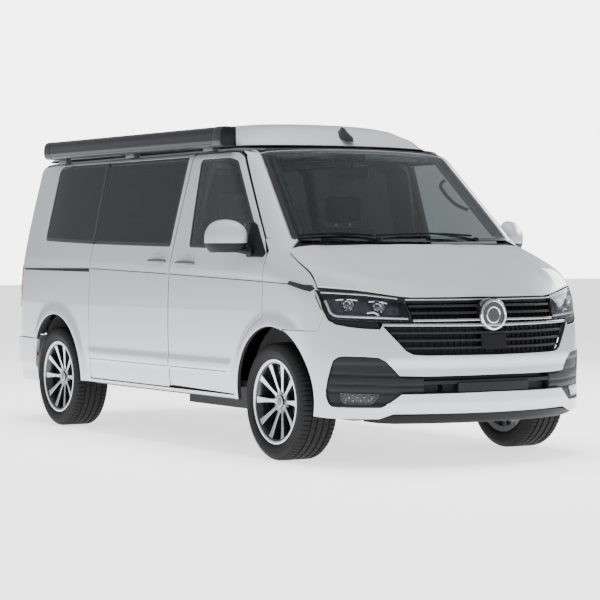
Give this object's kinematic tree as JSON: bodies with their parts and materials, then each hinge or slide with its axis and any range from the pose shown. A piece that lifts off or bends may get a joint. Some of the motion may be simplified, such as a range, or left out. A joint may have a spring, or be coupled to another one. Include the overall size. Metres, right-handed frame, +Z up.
{
  "type": "camper van",
  "caption": "Four-wheeled camper van with a pop-up roof, side awning, sliding door, opening front doors, hood and tailgate, steering and rolling wheels.",
  "frame": {"origin": "on the ground under the centre of the vehicle's box", "axes": "+Z up, the front faces -Y, the left (driver's) side is at +X"},
  "size_m": [2.284, 4.8942, 2.035],
  "materials": {
    "body_paint": "gloss clear coat over a cool light silver-white",
    "gloss_black": "gloss",
    "trim_plastic": "fine moulded grain",
    "window_glass": "clear",
    "privacy_glass": "dark tint",
    "lamp_glass": "clear",
    "red_lens": "gloss",
    "chrome": "polished",
    "mirror_glass": "polished",
    "tyre": "matt",
    "rim_alloy": "machined faces",
    "rim_pocket": "gloss black",
    "brake_steel": "turned",
    "cast_iron": "as cast",
    "underbody_steel": "matt coating",
    "awning_paint": "satin anthracite",
    "bellows_fabric": "woven",
    "seat_fabric": "woven",
    "cabin_dark": "fine grain",
    "cabin_light": "fine grain",
    "cabinet": "pale laminate",
    "leather": "fine grain",
    "rubber_seal": "matt"
  },
  "bodies": {
    "body": {"body_side_left": "body_paint", "body_side_right": "body_paint", "roof_frame": "body_paint", "windscreen_frame": "gloss_black", "floor_pan": "underbody_steel", "front_fenders": "body_paint", "front_bumper": "body_paint", "bumper_trim": "trim_plastic", "grille": "gloss_black", "headlights": "lamp_glass", "windscreen": "window_glass", "sliding_door": "body_paint", "side_windows": "privacy_glass", "tail_lights": "red_lens", "rear_bumper": "body_paint", "roof_bellows": "bellows_fabric", "awning": "awning_paint", "dashboard": "cabin_dark", "front_seats": "seat_fabric", "rear_bench": "seat_fabric", "kitchen_unit": "cabinet", "engine_block": "cast_iron", "front_subframe": "underbody_steel", "rear_axle": "underbody_steel", "fuel_tank": "underbody_steel"},
    "door_left": {"front_door_left": "body_paint", "front_door_glass_left": "window_glass", "mirror_left": "body_paint"},
    "door_right": {"front_door_right": "body_paint", "front_door_glass_right": "window_glass", "mirror_right": "body_paint"},
    "hood": {"hood": "body_paint"},
    "tailgate": {"tailgate": "body_paint", "tailgate_glass": "privacy_glass"},
    "pop_up_roof": {"pop_up_roof": "body_paint"},
    "steering_wheel": {"steering_wheel": "leather"},
    "knuckle_left": {"knuckle_left": "cast_iron"},
    "knuckle_right": {"knuckle_right": "cast_iron"},
    "wheel_front_left": {"rim_front_left": "rim_alloy", "tyre_front_left": "tyre"},
    "wheel_front_right": {"rim_front_right": "rim_alloy", "tyre_front_right": "tyre"},
    "wheel_rear_left": {"rim_rear_left": "rim_alloy", "tyre_rear_left": "tyre"},
    "wheel_rear_right": {"rim_rear_right": "rim_alloy", "tyre_rear_right": "tyre"}
  },
  "joints": [
    {"name": "front_door_left_swing", "type": "hinge", "parent": "body", "child": "door_left", "pos_m": [0.94, -1.378, 0.5], "axis": [0, 0, -1], "range_deg": [0, 65]},
    {"name": "front_door_right_swing", "type": "hinge", "parent": "body", "child": "door_right", "pos_m": [-0.94, -1.378, 0.5], "axis": [0, 0, 1], "range_deg": [0, 65]},
    {"name": "hood_lift", "type": "hinge", "parent": "body", "child": "hood", "pos_m": [0, -1.52, 1.26], "axis": [-1, 0, 0], "range_deg": [0, 50]},
    {"name": "tailgate_lift", "type": "hinge", "parent": "body", "child": "tailgate", "pos_m": [0, 2.258, 1.793], "axis": [1, 0, 0], "range_deg": [0, 85]},
    {"name": "roof_lift", "type": "hinge", "parent": "body", "child": "pop_up_roof", "pos_m": [0, 2.1, 1.868], "axis": [-1, 0, 0], "range_deg": [0, 20]},
    {"name": "steer_left", "type": "hinge", "parent": "body", "child": "knuckle_left", "pos_m": [0.74, -1.544, 0.343], "axis": [0, 0, 1], "range_deg": [-35, 35]},
    {"name": "steer_right", "type": "hinge", "parent": "body", "child": "knuckle_right", "pos_m": [-0.74, -1.544, 0.343], "axis": [0, 0, 1], "range_deg": [-35, 35]},
    {"name": "steering_wheel_turn", "type": "hinge", "parent": "body", "child": "steering_wheel", "pos_m": [0.4, -0.985, 1.085], "axis": [0, 0.9063, 0.4226], "range_deg": [-525, 525]},
    {"name": "spin_front_left", "type": "hinge", "parent": "knuckle_left", "child": "wheel_front_left", "pos_m": [0.814, -1.544, 0.343], "axis": [1, 0, 0], "continuous": true},
    {"name": "spin_front_right", "type": "hinge", "parent": "knuckle_right", "child": "wheel_front_right", "pos_m": [-0.814, -1.544, 0.343], "axis": [1, 0, 0], "continuous": true},
    {"name": "spin_rear_left", "type": "hinge", "parent": "body", "child": "wheel_rear_left", "pos_m": [0.814, 1.456, 0.343], "axis": [1, 0, 0], "continuous": true},
    {"name": "spin_rear_right", "type": "hinge", "parent": "body", "child": "wheel_rear_right", "pos_m": [-0.814, 1.456, 0.343], "axis": [1, 0, 0], "continuous": true}
  ],
  "couplings": [
    {"joint": "steer_right", "follows": "steer_left", "ratio": 1},
    {"joint": "steering_wheel_turn", "follows": "steer_left", "ratio": 15}
  ]
}
